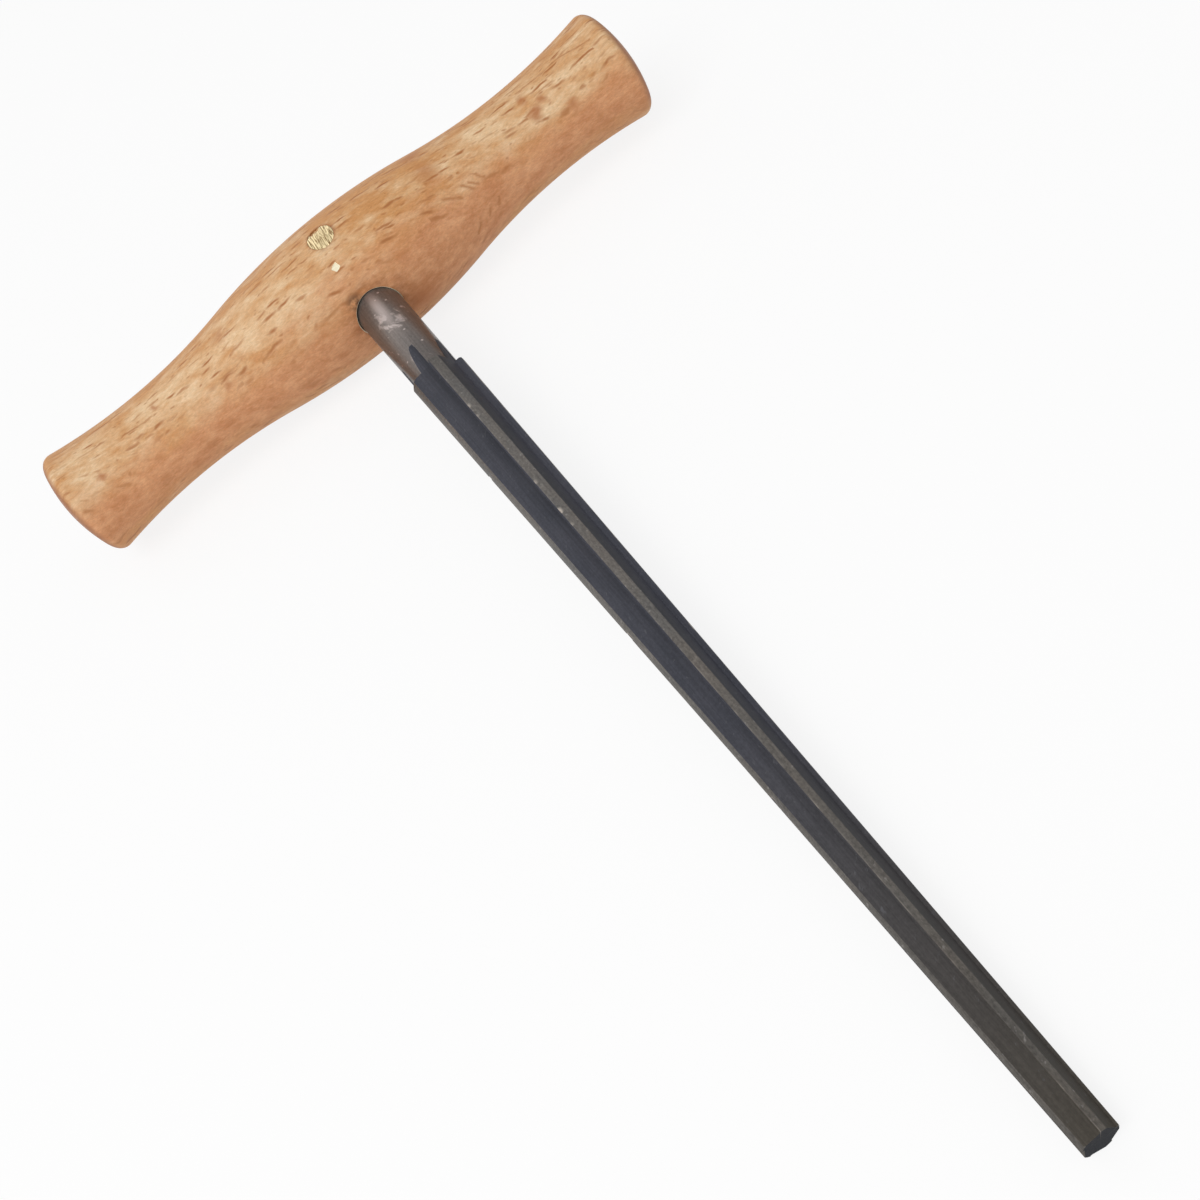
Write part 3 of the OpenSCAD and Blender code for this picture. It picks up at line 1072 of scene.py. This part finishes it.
def land_steel():
    """The ground lands of the taper."""
    return steel(
        "land_steel",
        tone=(0.125, 0.112, 0.1, 1),
        tint=(0.105, 0.1, 0.095, 1),
        scuff_and_highlight=(0.3, 0.28, 0.27, 1),
        rubs_and_highlight=land_rubs,
        grain=0.45,
        roughness=0.45,
        metal=0.5,
        gloss=0.4,
    )


def flute_steel():
    """The dark, dull flutes."""
    return steel(
        "flute_steel",
        tone=(0.053, 0.054, 0.066, 1),
        tint=(0.044, 0.046, 0.057, 1),
        scuff_and_highlight=(0.12, 0.12, 0.13, 1),
        rubs_and_highlight=small_rubs,
        grain=0.2,
        roughness=0.55,
        metal=0.0,
        gloss=0.08,
        brown_from=120,
        browned=1.0,
    )


def end_steel_painted_shade():
    """The nearly black face of the small end, darker than the flutes as painted shade."""
    return steel(
        "end_steel_painted_shade",
        tone=(0.022, 0.023, 0.027, 1),
        tint=(0.018, 0.02, 0.024, 1),
        scuff_and_highlight=(0.06, 0.06, 0.065, 1),
        rubs_and_highlight=small_rubs,
        grain=0.25,
        roughness=0.6,
        metal=0.0,
        gloss=0.05,
        browned=0.0,
    )


def brass():
    """Filed brass: bright ridges and dull valleys along the file's marks, and dirt in the dent."""
    graph = Graph("brass")
    marks = graph.noise(graph.places((1.6, 0.2, 3), (0, 0, math.radians(6))), 3.0, 0.65, 0.3)
    colour = graph.blend(graph.remap(marks, 0.36, 0.62), DULL_BRASS, BRIGHT_BRASS)
    colour = graph.blend(graph.attribute("dirt_and_shading"), colour, SOILED_BRASS)
    roughness = graph.remap(marks, 0.3, 0.7, 0.4, 0.26)
    return graph.finish(colour, roughness, marks, depth=0.05, Metallic=0.85)


def make_camera():
    """Puts the camera where the photograph was taken from."""
    back = Vector((
        math.cos(CAMERA_ELEVATION) * math.cos(CAMERA_AZIMUTH),
        math.cos(CAMERA_ELEVATION) * math.sin(CAMERA_AZIMUTH),
        math.sin(CAMERA_ELEVATION),
    ))
    level = Vector((0, 0, 1)).cross(back).normalized()
    below = level.cross(back)
    right = math.cos(CAMERA_ROLL) * level + math.sin(CAMERA_ROLL) * below
    up = back.cross(right)
    camera = bpy.data.objects.new("camera", bpy.data.cameras.new("camera"))
    camera.data.lens = CAMERA_LENS
    camera.data.clip_start = CAMERA_NEAR * MM
    turn = Matrix((right, up, back)).transposed().to_4x4()
    camera.matrix_world = Matrix.Translation(CAMERA_AT * MM) @ turn
    bpy.context.scene.collection.objects.link(camera)
    bpy.context.scene.camera = camera


def seen_or_mirrored(tree):
    """1 for rays from the camera, reflections and see-through rays, 0 for light on the object."""
    path = tree.nodes.new("ShaderNodeLightPath")
    total = path.outputs["Is Camera Ray"]
    for name in ("Is Glossy Ray", "Is Transmission Ray"):
        sum_node = tree.nodes.new("ShaderNodeMath")
        sum_node.operation = "MAXIMUM"
        tree.links.new(total, sum_node.inputs[0])
        tree.links.new(path.outputs[name], sum_node.inputs[1])
        total = sum_node.outputs[0]
    return total


def make_floor():
    """A pale floor on which the tool lies, touching the handle's bulge and the reamer's tip."""
    tilt = math.asin((BULGE_R - TIP_R) / TIP_X)
    mesh = bpy.data.meshes.new("floor")
    half = FLOOR_SIZE / 2
    corners = [(-half, -half, 0), (half, -half, 0), (half, half, 0), (-half, half, 0)]
    mesh.from_pydata(corners, [], [(0, 1, 2, 3)])
    floor = bpy.data.objects.new("floor", mesh)
    floor.rotation_euler = (0, -tilt, 0)
    floor.location = Vector((math.sin(tilt), 0, -math.cos(tilt))) * BULGE_R * MM
    bpy.context.scene.collection.objects.link(floor)
    graph = Graph("floor")
    graph.shader.inputs["Base Color"].default_value = FLOOR_COLOUR
    graph.shader.inputs["Roughness"].default_value = FLOOR_ROUGHNESS
    glow = graph.node("Emission", {"Color": WHITE, "Strength": 1.0})
    share = graph.math("MULTIPLY", seen_or_mirrored(graph.tree), FLOOR_GLOW)
    mixed = graph.node("MixShader", {0: share, 1: graph.shader.outputs[0], 2: glow.outputs[0]})
    graph.feed(graph.tree.nodes["Material Output"].inputs["Surface"], mixed.outputs[0])
    mesh.materials.append(graph.material)


def make_room():
    """An even white room that lights the object gently and looks white."""
    world = bpy.data.worlds.new("room")
    bpy.context.scene.world = world
    world.use_nodes = True
    tree = world.node_tree
    background = tree.nodes["Background"]
    background.inputs["Color"].default_value = WHITE
    strength = tree.nodes.new("ShaderNodeMapRange")
    strength.inputs["To Min"].default_value = ROOM_LIGHT
    tree.links.new(seen_or_mirrored(tree), strength.inputs["Value"])
    tree.links.new(strength.outputs[0], background.inputs["Strength"])


def add_lamp(name, towards, power):
    """A square soft lamp that faces the tool."""
    lamp = bpy.data.lights.new(name, "AREA")
    lamp.energy = power
    lamp.size = LAMP_SIZE
    holder = bpy.data.objects.new(name, lamp)
    holder.location = LAMPS_FACE + towards.normalized() * LAMP_FAR
    holder.rotation_euler = towards.to_track_quat("Z", "Y").to_euler()
    bpy.context.scene.collection.objects.link(holder)


make_handle()
make_reamer()
make_pin()
make_camera()
make_floor()
make_room()
add_lamp("key", KEY_TOWARDS, KEY_POWER)
add_lamp("fill", FILL_TOWARDS, FILL_POWER)
add_lamp("back", BACK_TOWARDS, BACK_POWER)
bpy.context.scene.view_settings.view_transform = "Standard"
